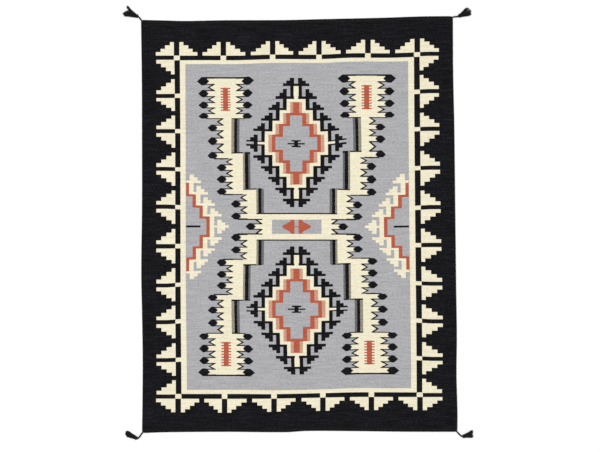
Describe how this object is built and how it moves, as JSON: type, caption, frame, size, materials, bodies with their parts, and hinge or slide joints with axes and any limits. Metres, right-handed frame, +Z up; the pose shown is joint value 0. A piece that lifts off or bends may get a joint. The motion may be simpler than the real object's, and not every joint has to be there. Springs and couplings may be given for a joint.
{
  "type": "southwest style rug",
  "caption": "Flat woven wool rug with a stepped geometric pattern, a corded edge and a black tassel at each corner, lying face up.",
  "frame": {"origin": "middle of the web's flat underside, on the surface that it lies on", "axes": "+X across the web to the right of the pattern, +Y up its length, +Z up from the floor through the face side"},
  "size_m": [1.3651, 1.6861, 0.0118],
  "materials": {
    "woven_wool": "matt weft-faced wool in black, cream, heathered grey and coral, fine ribs along its length",
    "tassel_wool": "matt black plied wool yarn"
  },
  "bodies": {
    "root": {"woven_field": "woven_wool", "tassel_upper_left": "tassel_wool", "tassel_upper_right": "tassel_wool", "tassel_lower_left": "tassel_wool", "tassel_lower_right": "tassel_wool"}
  },
  "joints": []
}
